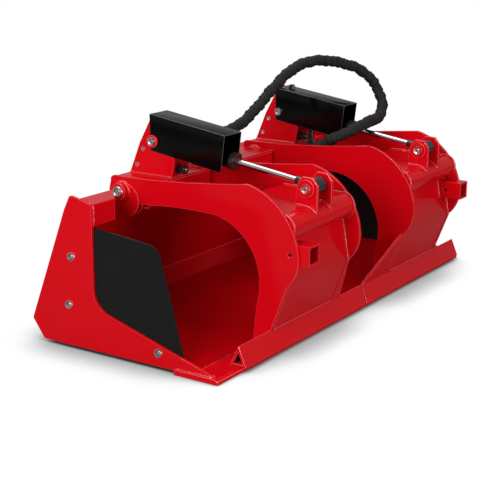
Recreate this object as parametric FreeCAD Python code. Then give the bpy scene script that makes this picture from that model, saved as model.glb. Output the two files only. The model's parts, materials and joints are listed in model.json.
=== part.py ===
# Grapple bucket for a compact loader: a wide bucket with two clamp arms on its top beam,
# each closed by its own covered cylinder. Millimetres, +Z up. The mouth faces -Y and the
# loader couples on at +Y. Outlines are drawn in side view, as (y, z) measured from the tip
# of the cutting edge and the ground, and extruded along X.
import FreeCAD, Part
import math
import os

os.makedirs("parts", exist_ok=True)
Vector = FreeCAD.Vector

# Bucket sizes
bucket_width = 1727.0
side_thickness = 10.0
shell_thickness = 8.0
edge_depth = 165.0
edge_thickness = 18.0
edge_overhang = 8.0
side_bottom = 12.0
back_foot_y = 709.0
heel_y = 755.0
heel_z = 77.0
back_top_y = 601.0
back_top_z = 468.0
side_peak_y = 576.0
side_peak_z = 517.0
side_front_y = 488.0
side_front_top = 497.0
side_slope_start_z = 18.0
side_slope_angle = 16.7
side_fillet = 77.0
corner_box_height = 73.0
corner_box_front_share = 0.43
corner_box_back_share = 0.95
deck_thickness = 8.0
deck_top = 500.0
deck_front_y = 515.0
deck_back_y = 706.0
deck_corner = 35.0
beam_height = 76.0
beam_wall = 6.0

# Loader coupling sizes
coupling_width = 1080.0
coupling_offset = 80.0
coupling_thickness = 10.0
coupling_bottom_z = 62.0
coupling_top_z = 430.0
coupling_window_width = 620.0
coupling_window_height = 190.0
lip_depth = 42.0
lip_drop = 30.0
slot_width = 70.0
slot_depth = 26.0
slot_spacing = 800.0
rib_thickness = 10.0
rib_positions = (-500.0, -205.0, 205.0, 500.0)

# Clamp arm sizes
arm_spacing = bucket_width * 0.4713
arm_offset_x = bucket_width * 0.0295
arm_outer_width = 412.0
arm_thickness = 12.0
pivot_y = 598.0
pivot_z = 476.0
pin_radius = 12.7
running_gap = 0.05
face_gap = 0.3
ear_gap = 1.0
tail_radius = 82.0
ear_thickness = 10.0
ear_radius = 58.0
ear_drop = 31.0
ear_forward = 10.0
ear_lobe = 36.0
boss_radius = 29.0
boss_length = 24.0
boss_room = 3.0
head_radius = 12.0
head_height = 8.0
tube_radius = 44.45
tube_wall = 8.0
tube_y = -24.0
tube_z = 428.0
skin_thickness = 6.0
skin_back_y = 215.0
face_top_y = -22.0
bend_y = -51.0
bend_z = 239.0
foot_y = 19.0
foot_z = 86.0
bar_apex_y = 12.0
bar_apex_z = 86.0
bar_front_y = -16.0
bar_back_y = 46.0
bar_base_thickness = 8.0
bar_wall = 9.0
bar_length = 789.0
bar_gap = 6.0
bar_lift = 1.0
receiver_size = 63.5
receiver_bore = 50.8
receiver_front_y = -125.0
receiver_back_y = 22.0
receiver_z = 348.0
receiver_pin_y = -62.0
receiver_pin_radius = 8.0

# Cylinder sizes
base_y = 592.0
base_z = 622.0
clevis_y = -30.0
clevis_z = 530.0
upright_thickness = 12.0
eye_width = 66.0
eye_radius = 27.0
barrel_radius = 28.0
barrel_length = 300.0
gland_radius = 30.0
gland_length = 20.0
rod_radius = 10.5
sleeve_radius = 13.5
sleeve_length = 46.0
rod_eye_radius = 27.0
cylinder_pin_radius = 9.5
lug_thickness = 12.0
lug_radius = 38.0
lug_room = 18.0
collar_radius = 30.0
collar_thickness = 10.0
rod_eye_width = 44.0
rod_eye_play = 7.5
cover_width = 102.0
cover_wall = 3.0
cover_front = 325.0
cover_back = 12.0
cover_above = 94.0
cover_below = 35.0
cover_corner = 16.0
bolt_radius = 10.5
bolt_height = 6.0
small_bolt_radius = 6.0

# Side panel sizes
panel_thickness = 6.0
panel_corner = 50.0

# Hose
hose_radius = 21.0
fitting_radius = 15.0

lip_reach = 40.0

half_width = bucket_width / 2
inner_half = half_width - side_thickness
sides = ("left", "right")
arm_centres = {"left": arm_offset_x - arm_spacing / 2, "right": arm_offset_x + arm_spacing / 2}


def save(name, shape):
    """Write one named piece, moved to the centred frame."""
    placed = shape.copy()
    placed.translate(Vector(0, frame_shift, 0))
    placed.exportStep("parts/" + name + ".step")
    print(name, round(placed.Volume / 1000.0, 1), "cm3", len(placed.Solids))


def join(shapes):
    """Fuse touching solids into one."""
    whole = shapes[0]
    for shape in shapes[1:]:
        whole = whole.fuse(shape)
    return whole.removeSplitter()


def group(shapes):
    """Keep separate solids together in one node."""
    return Part.makeCompound(shapes)


def block(x0, x1, y0, y1, z0, z1):
    return Part.makeBox(x1 - x0, y1 - y0, z1 - z0, Vector(x0, y0, z0))


def rod_x(y, z, radius, x0, x1):
    """A round bar along X."""
    return Part.makeCylinder(radius, x1 - x0, Vector(x0, y, z), Vector(1, 0, 0))


def ring_x(y, z, outer, inner, x0, x1):
    return rod_x(y, z, outer, x0, x1).cut(rod_x(y, z, inner, x0 - 1, x1 + 1))


def corner_edges(corners):
    """Edges of a closed side-view outline from (y, z, radius) corners, rounded by true arcs."""
    points = [Vector(0, c[0], c[1]) for c in corners]
    radii = [c[2] if len(c) > 2 else 0.0 for c in corners]
    count = len(points)
    starts = []
    ends = []
    middles = []
    for i in range(count):
        point = points[i]
        back = points[i - 1].sub(point).normalize()
        ahead = points[(i + 1) % count].sub(point).normalize()
        if radii[i] <= 0:
            starts.append(point)
            ends.append(point)
            middles.append(None)
            continue
        half = math.acos(max(-1.0, min(1.0, back.dot(ahead)))) / 2
        run = radii[i] / math.tan(half)
        bisector = back.add(ahead).normalize()
        centre = point.add(bisector * (radii[i] / math.sin(half)))
        starts.append(point.add(back * run))
        ends.append(point.add(ahead * run))
        middles.append(centre.sub(bisector * radii[i]))
    edges = []
    for i in range(count):
        if middles[i] is not None:
            edges.append(Part.Arc(starts[i], middles[i], ends[i]).toShape())
        following = starts[(i + 1) % count]
        if ends[i].sub(following).Length > 1e-6:
            edges.append(Part.LineSegment(ends[i], following).toShape())
    return edges


def plate_x(corners, x0, x1):
    """A plate cut to a side-view outline and extruded from x0 to x1."""
    face = Part.Face(Part.Wire(corner_edges(corners)))
    face.translate(Vector(x0, 0, 0))
    return face.extrude(Vector(x1 - x0, 0, 0))


# Bucket shell, with its directions along and square to the sloping back
back_length = math.hypot(heel_y - back_top_y, heel_z - back_top_z)
back_up = ((back_top_y - heel_y) / back_length, (back_top_z - heel_z) / back_length)
back_out = (back_up[1], -back_up[0])


def back_surface_y(z, offset):
    """y of the back plane at height z, offset outwards (negative is into the bucket)."""
    y0 = back_top_y + back_out[0] * offset
    z0 = back_top_z + back_out[1] * offset
    return y0 + (z - z0) * back_up[0] / back_up[1]


# The frame is centred between the receivers' front ends and the coupling's lower edge.
coupling_out = coupling_offset + coupling_thickness
frame_shift = -(receiver_front_y + back_surface_y(coupling_bottom_z, coupling_out)) / 2
deck_under = deck_top - deck_thickness
floor_bottom = edge_thickness
floor_top = floor_bottom + shell_thickness


def arm_planes():
    """Left face x of each clamp arm plate, for both arms of both grapples."""
    planes = []
    for side in ("left", "right"):
        centre = arm_centres[side]
        planes.append(centre - arm_outer_width / 2)
        planes.append(centre + arm_outer_width / 2 - arm_thickness)
    return planes


def ear_places():
    """Left face x of each ear plate: one on either side of every arm plate."""
    places = []
    for x in arm_planes():
        places.append(x - ear_gap - ear_thickness)
        places.append(x + arm_thickness + ear_gap)
    return places


def ear_shape(x, bored=True):
    """Pivot ear: a big disc welded through the top of the back and a small lobe round the pin."""
    low = rod_x(pivot_y - ear_forward, pivot_z - ear_drop, ear_radius, x, x + ear_thickness)
    lobe = rod_x(pivot_y, pivot_z, ear_lobe, x, x + ear_thickness)
    ear = join([low, lobe])
    if bored:
        ear = ear.cut(rod_x(pivot_y, pivot_z, pin_radius + running_gap, x - 1, x + ear_thickness + 1))
    return ear


def pivot_boss_spans():
    """Outer ear faces from which the pivot bosses stand, as (x, direction)."""
    spans = []
    for side in sides:
        centre = arm_centres[side]
        reach = arm_outer_width / 2 + ear_gap + ear_thickness
        spans.append((centre - reach, -1))
        spans.append((centre + reach, 1))
    return spans


def cut_for_bosses(shape):
    """Open a plate round the pivot bosses and their pin heads."""
    for x, direction in pivot_boss_spans():
        far = x + direction * (boss_length + head_height + boss_room)
        room = rod_x(pivot_y, pivot_z, boss_radius + boss_room, min(x, far), max(x, far))
        shape = shape.cut(room)
    return shape


def cut_for_arms(shape):
    """Notch a plate for the arm tails and slot it for the ears welded through it."""
    for x in arm_planes():
        notch = rod_x(pivot_y, pivot_z, tail_radius, x - ear_gap, x + arm_thickness + ear_gap)
        shape = shape.cut(notch)
        mouth = block(x - ear_gap, x + arm_thickness + ear_gap, deck_front_y - 20.0, pivot_y,
                      pivot_z, pivot_z + tail_radius)
        shape = shape.cut(mouth)
    for x in ear_places():
        shape = shape.cut(ear_shape(x, False))
    return cut_for_bosses(shape)


def bucket_shell():
    top_y = back_surface_y(deck_under, 0)
    inner_y = back_surface_y(deck_under, -shell_thickness)
    chamfer = math.atan2(heel_z - floor_bottom, heel_y - back_foot_y)
    inner_foot_y = back_foot_y - shell_thickness * math.tan(chamfer / 2)
    turn = math.atan2(back_up[1], back_up[0]) - chamfer
    reach = shell_thickness / math.cos(turn / 2)
    middle = chamfer + turn / 2 + math.pi / 2
    inner_heel = (heel_y + reach * math.cos(middle), heel_z + reach * math.sin(middle))
    outline = [
        (edge_depth * 0.55, floor_bottom),
        (back_foot_y, floor_bottom, 20.0),
        (heel_y, heel_z, 20.0),
        (top_y, deck_under),
        (inner_y, deck_under),
        (inner_heel[0], inner_heel[1], 12.0),
        (inner_foot_y, floor_top, 12.0),
        (edge_depth * 0.55, floor_top),
    ]
    shell = cut_for_arms(plate_x(outline, -inner_half, inner_half))
    ears = ear_places()
    for x0, x1 in ((-half_width, ears[0]), (ears[-1] + ear_thickness, half_width)):
        shell = shell.cut(block(x0, x1, side_front_y, heel_y, back_top_z, deck_top + 10.0))
    return shell


def side_outline():
    slope = math.tan(math.radians(side_slope_angle))
    corner_z = side_slope_start_z + (side_front_y - side_slope_start_z) * slope
    return [
        (side_slope_start_z, edge_thickness + 2.0, 4.0),
        (side_front_y, corner_z, side_fillet),
        (side_front_y, side_front_top, 6.0),
        (side_peak_y, side_peak_z, 10.0),
        (back_top_y, back_top_z, 8.0),
        (heel_y + 2.0, heel_z, 8.0),
        (back_foot_y, side_bottom, 6.0),
        (edge_depth + 2.0, side_bottom),
        (edge_depth + 2.0, edge_thickness),
        (side_slope_start_z - 6.0, edge_thickness),
    ]


panel_bolt_places = ((577.0, 315.0), (593.0, 151.0), (229.0, 57.0))


def side_plate(x0):
    plate = plate_x(side_outline(), x0, x0 + side_thickness)
    for y, z in panel_bolt_places:
        plate = plate.cut(rod_x(y, z, small_bolt_radius, x0 - 1, x0 + side_thickness + 1))
    return plate


def cutting_edge():
    reach = half_width + edge_overhang
    bevel = 6.0
    outline = [
        (0, 0),
        (edge_depth, 0),
        (edge_depth, edge_thickness),
        (bevel * 2, edge_thickness),
        (0, edge_thickness - bevel),
    ]
    return plate_x(outline, -reach, reach)


def wear_strips():
    strips = []
    width = 76.0
    for share in (-0.81, -0.29, 0.29, 0.81):
        x = half_width * share
        outline = [
            (edge_depth + 30.0, floor_bottom),
            (edge_depth + 48.0, 0, 8.0),
            (back_foot_y - 60.0, 0, 8.0),
            (back_foot_y - 42.0, floor_bottom),
        ]
        strips.append(plate_x(outline, x - width / 2, x + width / 2))
    return group(strips)


def corner_box(side):
    """Folded box that stiffens a top corner, narrower at its front."""
    top = side_front_top - 1.0
    bottom = top - corner_box_height
    back_y = back_surface_y(bottom, -shell_thickness)
    x_wall = side * inner_half
    face, direction = pivot_boss_spans()[0 if side < 0 else -1]
    room = inner_half - abs(face + direction * (boss_length + head_height))
    front_x = side * (inner_half - room * corner_box_front_share)
    back_x = side * (inner_half - room * corner_box_back_share)
    plan = [
        Vector(x_wall, side_front_y, bottom),
        Vector(front_x, side_front_y, bottom),
        Vector(back_x, back_y, bottom),
        Vector(x_wall, back_y, bottom),
        Vector(x_wall, side_front_y, bottom),
    ]
    solid = Part.Face(Part.makePolygon(plan)).extrude(Vector(0, 0, corner_box_height))
    behind = [
        (back_surface_y(deck_top + 60.0, -shell_thickness), deck_top + 60.0),
        (back_surface_y(bottom - 20.0, -shell_thickness), bottom - 20.0),
        (heel_y + 60.0, bottom - 20.0),
        (heel_y + 60.0, deck_top + 60.0),
    ]
    solid = solid.cut(plate_x(behind, -half_width, half_width))
    front_edges = []
    for edge in solid.Edges:
        box = edge.BoundBox
        if box.YMax < side_front_y + 0.1 and box.ZLength < 0.1:
            front_edges.append(edge)
    return solid.makeFillet(4.0, front_edges)


def top_beam(x0, x1):
    """Box beam under the deck, closed at the back by the sloping shell."""
    bottom = deck_under - beam_height
    outer = [
        (deck_front_y, bottom, 6.0),
        (deck_front_y, deck_under),
        (back_surface_y(deck_under, -shell_thickness), deck_under),
        (back_surface_y(bottom, -shell_thickness), bottom),
    ]
    inner = [
        (deck_front_y + beam_wall, bottom + beam_wall, 2.0),
        (deck_front_y + beam_wall, deck_under - beam_wall),
        (back_surface_y(deck_under, -shell_thickness) - beam_wall, deck_under - beam_wall),
        (back_surface_y(bottom, -shell_thickness) - beam_wall - 2.0, bottom + beam_wall),
    ]
    beam = plate_x(outer, x0, x1).cut(plate_x(inner, x0 - 1, x1 + 1))
    return cut_for_bosses(beam)


def beam_spans():
    """Clear lengths between the ears, where the beam sections fit."""
    ears = ear_places()
    spans = []
    for i in (1, 3, 5):
        spans.append((ears[i] + ear_thickness, ears[i + 1]))
    return spans


def top_deck():
    ears = ear_places()
    deck = block(ears[1] + ear_thickness, ears[6], deck_front_y, deck_back_y, deck_under, deck_top)
    rear = [edge for edge in deck.Edges if edge.BoundBox.YMin > deck_back_y - 0.1 and edge.BoundBox.XLength < 0.1]
    deck = deck.makeChamfer(deck_corner, rear)
    return cut_for_arms(deck)


# Loader coupling behind the sloping back
coupling_half = coupling_width / 2


def coupling_plate():
    top_near = back_surface_y(coupling_top_z, coupling_offset)
    top_far = back_surface_y(coupling_top_z, coupling_out)
    low_near = back_surface_y(coupling_bottom_z, coupling_offset)
    low_far = back_surface_y(coupling_bottom_z, coupling_out)
    outline = [
        (top_near, coupling_top_z),
        (top_far, coupling_top_z),
        (low_far, coupling_bottom_z),
        (low_near, coupling_bottom_z),
    ]
    plate = plate_x(outline, -coupling_half, coupling_half)
    middle = (coupling_bottom_z + deck_under) / 2
    low = middle - coupling_window_height / 2
    half = coupling_window_width / 2
    window = block(-half, half, 500.0, 1000.0, low, low + coupling_window_height)
    upright_edges = [edge for edge in window.Edges if edge.BoundBox.YLength > 400]
    plate = plate.cut(window.makeFillet(30.0, upright_edges))
    for x in (-slot_spacing / 2, slot_spacing / 2):
        z = coupling_bottom_z + 45.0
        slot = block(x - slot_width / 2, x + slot_width / 2, 600.0, 1000.0, z, z + slot_depth)
        slot_edges = [edge for edge in slot.Edges if edge.BoundBox.YLength > 300]
        plate = plate.cut(slot.makeFillet(slot_depth * 0.4, slot_edges))
    return plate


def coupling_lip():
    """Hook along the top that the loader's coupler tucks under."""
    top_z = coupling_top_z - 4.0
    low_z = top_z - lip_drop
    face = coupling_out
    outline = [
        (back_surface_y(top_z, face), top_z),
        (back_surface_y(top_z, face) + lip_reach, top_z - 4.0, 4.0),
        (back_surface_y(top_z, face) + lip_reach + 3.0, low_z, 3.0),
        (back_surface_y(top_z, face) + lip_reach - 7.0, low_z, 3.0),
        (back_surface_y(top_z, face) + lip_reach - 10.0, top_z - 14.0, 3.0),
        (back_surface_y(top_z - 10.0, face), top_z - 10.0),
    ]
    return plate_x(outline, -coupling_half, coupling_half)


def coupling_ribs():
    ribs = []
    low_z = coupling_bottom_z + 40.0
    high_z = coupling_top_z - 8.0
    for x in rib_positions:
        outline = [
            (back_surface_y(high_z, 0), high_z),
            (back_surface_y(high_z - 20.0, coupling_offset), high_z - 20.0),
            (back_surface_y(low_z, coupling_offset), low_z),
            (back_surface_y(low_z + 30.0, 0), low_z + 30.0),
        ]
        ribs.append(plate_x(outline, x - rib_thickness / 2, x + rib_thickness / 2))
    return group(ribs)


def side_panel(x0):
    """Black liner plate bolted against a side plate."""
    floor_z = floor_top + 3.0
    outline = [
        (136.0, floor_z + 8.0, 6.0),
        (150.0, floor_z, 4.0),
        (back_surface_y(80.0, -40.0), floor_z, 20.0),
        (back_surface_y(120.0, -24.0), 120.0, 30.0),
        (back_surface_y(418.0, -24.0), 418.0, 10.0),
        (495.0, 421.0, 8.0),
        (235.0, 396.0, panel_corner),
    ]
    panel = plate_x(outline, x0, x0 + panel_thickness)
    for y, z in panel_bolt_places:
        panel = panel.cut(rod_x(y, z, small_bolt_radius, x0 - 1, x0 + panel_thickness + 1))
    return panel


def round_head(x, y, z, radius, height, direction):
    """Button head: a short cylinder with its outer rim rounded, standing off x."""
    start = x if direction > 0 else x - height
    head = rod_x(y, z, radius, start, start + height)
    rim = []
    far = x + direction * height
    for edge in head.Edges:
        box = edge.BoundBox
        if abs(box.XMin - far) < 0.01 and abs(box.XMax - far) < 0.01:
            rim.append(edge)
    return head.makeFillet(height * 0.55, rim)


def panel_bolts():
    bolts = []
    for side in (-1, 1):
        x_out = side * half_width
        x_in = side * (inner_half - panel_thickness)
        for y, z in panel_bolt_places:
            head = round_head(x_out, y, z, bolt_radius, bolt_height, side)
            low = min(x_out, x_in)
            shank = rod_x(y, z, small_bolt_radius - face_gap, low, max(x_out, x_in))
            bolts.append(join([head, shank]))
    return group(bolts)


# Clamp arm grapples
def side_face(start, steps):
    """Side-view face from a start point; each step is (y, z) or an arc (via y, via z, y, z)."""
    edges = []
    cursor = Vector(0, start[0], start[1])
    for step in steps + [start]:
        target = Vector(0, step[-2], step[-1])
        if len(step) == 4:
            edges.append(Part.Arc(cursor, Vector(0, step[0], step[1]), target).toShape())
        elif target.sub(cursor).Length > 1e-6:
            edges.append(Part.LineSegment(cursor, target).toShape())
        cursor = target
    return Part.Face(Part.Wire(edges))


def arm_face():
    """Swept clamp arm: low beam from the pivot, tall shoulder, then a leg down to the toe bar."""
    return side_face((664.0, 478.0), [
        (656.0, 509.0),
        (652.0, 519.0, 641.0, 523.0),
        (485.0, 524.0),
        (292.0, 536.0, 99.0, 555.0),
        (-25.0, 487.0, -92.0, 345.0),
        (-83.0, 285.0, bend_y, bend_z),
        (foot_y - 8.0, foot_z - 6.0),
        (bar_back_y - 20.0, 46.0),
        (74.0, 46.0),
        (74.0, 50.0),
        (69.0, 102.0, 63.0, 154.0),
        (54.0, 203.0, 52.0, 253.0),
        (96.0, 363.0, 237.0, 441.0),
        (392.0, 443.0, 547.0, 432.0),
        (638.0, 430.0),
        (657.0, 438.0, 666.0, 456.0),
    ])


def bar_triangle(x0, x1):
    low = edge_thickness + bar_lift
    return plate_x([(bar_apex_y, bar_apex_z), (bar_back_y, low), (bar_front_y, low)], x0, x1)


def arm_plate(x):
    plate = arm_face().extrude(Vector(arm_thickness, 0, 0))
    plate.translate(Vector(x, 0, 0))
    plate = plate.cut(bar_triangle(x - 1, x + arm_thickness + 1))
    return plate.cut(rod_x(pivot_y, pivot_z, pin_radius + running_gap, x - 1, x + arm_thickness + 1))


def receiver_box(x0, x1, grow=0.0):
    half = receiver_size / 2 + grow
    return block(x0, x1, receiver_front_y, receiver_back_y, receiver_z - half, receiver_z + half)


def bar_ends(side):
    """The two bars stop either side of a narrow gap between the grapples."""
    middle = arm_offset_x
    if side == "left":
        return (middle - bar_gap / 2 - bar_length, middle - bar_gap / 2)
    return (middle + bar_gap / 2, middle + bar_gap / 2 + bar_length)


def clamp_bar(side):
    """Folded toe bar, an upside-down V."""
    x0, x1 = bar_ends(side)
    inner = plate_x([
        (bar_apex_y, bar_apex_z - bar_wall * 2.35),
        (bar_back_y - bar_wall * 1.12, edge_thickness + bar_lift),
        (bar_front_y + bar_wall * 1.12, edge_thickness + bar_lift),
    ], x0 - 1, x1 + 1)
    return bar_triangle(x0, x1).cut(inner)


def clamp_bar_base(side):
    """Flat strip that closes the underside of the toe bar, set in between its legs."""
    x0, x1 = bar_ends(side)
    low = edge_thickness + bar_lift
    inner = plate_x([
        (bar_apex_y, bar_apex_z - bar_wall * 2.35),
        (bar_back_y - bar_wall * 1.12, low),
        (bar_front_y + bar_wall * 1.12, low),
    ], x0 + 2.0, x1 - 2.0)
    strip = block(x0 + 2.0, x1 - 2.0, bar_front_y, bar_back_y, low, low + bar_base_thickness)
    return inner.common(strip)


def face_outline():
    """Bent face plate: upper leg under the tube, lower leg down to the bar."""
    thick = shell_thickness
    return [
        (face_top_y, tube_z - 20.0),
        (bend_y + 1.0, bend_z),
        (foot_y - 8.0, foot_z - 6.0),
        (foot_y - 8.0 + thick * 0.75, foot_z + 6.0),
        (bend_y + 1.0 + thick, bend_z + 2.0),
        (face_top_y + thick, tube_z - 20.0),
    ]


def inner_span(side):
    centre = arm_centres[side]
    half = arm_outer_width / 2 - arm_thickness
    return (centre - half, centre + half)


def receiver_span(side):
    x0, x1 = inner_span(side)
    if side == "left":
        return (x0, x0 + receiver_size)
    return (x1 - receiver_size, x1)


def tube_body(x0, x1):
    return rod_x(tube_y, tube_z, tube_radius, x0, x1)


def face_plate(side):
    x0, x1 = inner_span(side)
    plate = plate_x(face_outline(), x0, x1)
    plate = plate.cut(tube_body(x0 - 1, x1 + 1))
    plate = plate.cut(bar_triangle(x0 - 1, x1 + 1))
    r0, r1 = receiver_span(side)
    return plate.cut(receiver_box(r0, r1))


def torque_tube(side):
    x0, x1 = inner_span(side)
    return ring_x(tube_y, tube_z, tube_radius, tube_radius - tube_wall, x0, x1)


def top_skin(side):
    x0, x1 = inner_span(side)
    top = tube_z + tube_radius
    skin = block(x0, x1, tube_y, skin_back_y, top - skin_thickness, top)
    return skin.cut(tube_body(x0 - 1, x1 + 1))


def lug_pair(side):
    centre = arm_centres[side]
    lugs = []
    inner = rod_eye_width / 2 + lug_room
    for x in (centre - inner - lug_thickness, centre + inner):
        head = rod_x(clevis_y, clevis_z, lug_radius, x, x + lug_thickness)
        web = plate_x([
            (clevis_y - lug_radius, clevis_z),
            (clevis_y - lug_radius + 1.0, tube_z + 22.0),
            (clevis_y + lug_radius + 9.0, tube_z + 22.0),
            (clevis_y + lug_radius, clevis_z),
        ], x, x + lug_thickness)
        lug = join([head, web]).cut(tube_body(x - 1, x + lug_thickness + 1))
        top = tube_z + tube_radius
        lug = lug.cut(block(x - 1, x + lug_thickness + 1, tube_y, skin_back_y, top - 30.0, top))
        bore = rod_x(clevis_y, clevis_z, cylinder_pin_radius + running_gap, x - 1, x + lug_thickness + 1)
        lugs.append(lug.cut(bore))
    return group(lugs)


def clevis_collars(side):
    centre = arm_centres[side]
    outer = rod_eye_width / 2 + lug_room + lug_thickness
    bore = cylinder_pin_radius + running_gap
    return group([
        ring_x(clevis_y, clevis_z, collar_radius, bore, centre - outer - collar_thickness, centre - outer),
        ring_x(clevis_y, clevis_z, collar_radius, bore, centre + outer, centre + outer + collar_thickness),
    ])


def pin_with_heads(y, z, radius, x0, x1, head):
    """Pin from x0 to x1 with a button head past each end."""
    return join([
        rod_x(y, z, radius, x0, x1),
        round_head(x0, y, z, head, head_height, -1),
        round_head(x1, y, z, head, head_height, 1),
    ])


def clevis_pin(side):
    centre = arm_centres[side]
    outer = rod_eye_width / 2 + lug_room + lug_thickness + collar_thickness
    return pin_with_heads(clevis_y, clevis_z, cylinder_pin_radius, centre - outer, centre + outer, head_radius)


def receiver_tube(side):
    x0, x1 = receiver_span(side)
    wall = (receiver_size - receiver_bore) / 2
    half = receiver_bore / 2
    tube = receiver_box(x0, x1)
    tube = tube.cut(block(x0 + wall, x1 - wall, receiver_front_y - 1, receiver_back_y + 1,
                          receiver_z - half, receiver_z + half))
    return tube.cut(rod_x(receiver_pin_y, receiver_z, receiver_pin_radius, x0 - 30, x1 + 30))


def arm_of(side, which):
    """One arm plate; the one beside the receiver is drilled for its hitch pin."""
    centre = arm_centres[side]
    x = centre - arm_outer_width / 2
    if which == "right":
        x = centre + arm_outer_width / 2 - arm_thickness
    plate = arm_plate(x)
    if which == side:
        plate = plate.cut(rod_x(receiver_pin_y, receiver_z, receiver_pin_radius, x - 1, x + arm_thickness + 1))
    return plate


def sloping_plate(x_near, x_far):
    """Three-sided gusset in the plane of the lower face, widening down to the bar."""
    top = Vector(x_near, bend_y + 2.0, bend_z)
    inner = Vector(x_near, foot_y - 8.0, foot_z - 6.0)
    outer = Vector(x_far, foot_y - 8.0, foot_z - 6.0)
    face = Part.Face(Part.makePolygon([top, inner, outer, top]))
    plate = face.extrude(Vector(0, shell_thickness, shell_thickness * 0.4))
    low = min(x_near, x_far) - 1
    high = max(x_near, x_far) + 1
    return plate.cut(bar_triangle(low, high))


# Cylinders, drawn along their own axis from base pin to rod pin
axis_length = math.hypot(clevis_y - base_y, clevis_z - base_z)
axis_y = (clevis_y - base_y) / axis_length
axis_z = (clevis_z - base_z) / axis_length


def on_axis(distance, above=0.0):
    """Side-view point at a distance along the cylinder and above its centre line."""
    y = base_y + axis_y * distance - axis_z * above * -1.0 * -1.0
    z = base_z + axis_z * distance - axis_y * above
    return (y, z)


def round_bar(side, radius, start, stop):
    y, z = on_axis(start)
    return Part.makeCylinder(radius, stop - start, Vector(arm_centres[side], y, z),
                             Vector(0, axis_y, axis_z))


def barrel(side):
    centre = arm_centres[side]
    half = eye_width / 2
    eye = rod_x(base_y, base_z, eye_radius, centre - half, centre + half)
    tube = round_bar(side, barrel_radius, 0.0, barrel_length)
    body = join([eye, tube])
    body = body.cut(round_bar(side, barrel_radius - 8.0, eye_radius + 10.0, barrel_length + 1))
    return body.cut(rod_x(base_y, base_z, cylinder_pin_radius + running_gap, centre - 60, centre + 60))


def gland(side):
    body = round_bar(side, gland_radius, barrel_length, barrel_length + gland_length)
    return body.cut(round_bar(side, rod_radius + running_gap, barrel_length - 1, 2 * barrel_length))


def rod(side):
    """Piston rod with its piston, from inside the barrel to the rod-end sleeve."""
    start = 160.0
    stop = axis_length - rod_eye_radius - sleeve_length
    piston = round_bar(side, barrel_radius - 8.0 - running_gap, start, start + 25.0)
    return join([piston, round_bar(side, rod_radius, start, stop)])


def rod_end(side):
    centre = arm_centres[side]
    half = rod_eye_width / 2
    start = axis_length - rod_eye_radius - sleeve_length
    eye = rod_x(clevis_y, clevis_z, rod_eye_radius, centre - half, centre + half)
    sleeve = round_bar(side, sleeve_radius, start, axis_length)
    end = join([eye, sleeve])
    return end.cut(rod_x(clevis_y, clevis_z, cylinder_pin_radius + rod_eye_play, centre - 60, centre + 60))


def cover_corners(reach, top):
    """Side view of the cover, an upside-down channel; its inside runs past the three open sides."""
    corner = 0.0 if reach > 0 else cover_corner
    return [
        on_axis(cover_front + reach, -cover_below - reach) + (0.0,),
        on_axis(-cover_back - reach, -cover_below - reach) + (corner,),
        on_axis(-cover_back - reach, top) + (0.0,),
        on_axis(cover_front + reach, top) + (0.0,),
    ]


def cover(side):
    centre = arm_centres[side]
    half = cover_width / 2
    outer = plate_x(cover_corners(0.0, cover_above), centre - half, centre + half)
    inner = plate_x(cover_corners(40.0, cover_above - cover_wall),
                    centre - half + cover_wall, centre + half - cover_wall)
    shell = outer.cut(inner)
    if side == "right":
        notch = [
            on_axis(-cover_back - 5.0, cover_above - 14.0),
            on_axis(58.0, cover_above - 14.0),
            on_axis(58.0, cover_above + 5.0),
            on_axis(-cover_back - 5.0, cover_above + 5.0),
        ]
        cut = plate_x([p + (0.0,) for p in notch], centre - half + 12.0, centre + half - 12.0)
        shell = shell.cut(cut)
    return shell.cut(rod_x(base_y, base_z, cylinder_pin_radius + running_gap, centre - 80, centre + 80))


# Uprights that carry the base pins, standing on the deck
upright_half = 46.0
tie_front_y = base_y - 66.0


def upright_outline():
    return [
        (base_y - 74.0, deck_top),
        (base_y + 110.0, deck_top),
        (base_y + 63.0, base_z - 10.0, 60.0),
        (base_y + 14.0, base_z + 78.0, 12.0),
        (base_y - 12.0, base_z + 68.0, 20.0),
        (base_y - 87.0, base_z - 56.0, 8.0),
    ]


def upright(x):
    plate = plate_x(upright_outline(), x, x + upright_thickness)
    return plate.cut(rod_x(base_y, base_z, cylinder_pin_radius + running_gap, x - 1, x + upright_thickness + 1))


def upright_pair(side):
    centre = arm_centres[side]
    return group([
        upright(centre - upright_half),
        upright(centre + upright_half - upright_thickness),
    ])


def upright_tie(side):
    """Cross plate between the uprights, drilled for the hydraulic fitting."""
    centre = arm_centres[side]
    half = upright_half - upright_thickness
    return block(centre - half, centre + half, tie_front_y, tie_front_y + 10.0, deck_top, base_z - 66.0)


def fitting(side):
    """Bulkhead fitting facing forward from the tie plate."""
    centre = arm_centres[side]
    z = deck_top + (base_z - barrel_radius - deck_top) * 0.255
    nut = Part.makeCylinder(fitting_radius + 3.0, 10.0, Vector(centre, tie_front_y, z), Vector(0, -1, 0))
    body = Part.makeCylinder(fitting_radius - 3.0, 26.0, Vector(centre, tie_front_y, z), Vector(0, -1, 0))
    cap = Part.makeCylinder(fitting_radius, 12.0, Vector(centre, tie_front_y - 26.0, z), Vector(0, -1, 0))
    return join([nut, body, cap])


def upright_bolts(side):
    """Small screws near the rear edge of each upright, heads outward."""
    centre = arm_centres[side]
    bolts = []
    for y, z in ((base_y + 76.0, deck_top + 32.0), (base_y + 48.0, base_z - 32.0)):
        bolts.append(round_head(centre - upright_half, y, z, small_bolt_radius, 4.0, -1))
        bolts.append(round_head(centre + upright_half, y, z, small_bolt_radius, 4.0, 1))
    return bolts


def base_pin(side):
    centre = arm_centres[side]
    half = cover_width / 2 + face_gap
    left = centre - half
    if side == "left":
        left = left - collar_thickness
    return pin_with_heads(base_y, base_z, cylinder_pin_radius, left, centre + half, bolt_radius)


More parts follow.
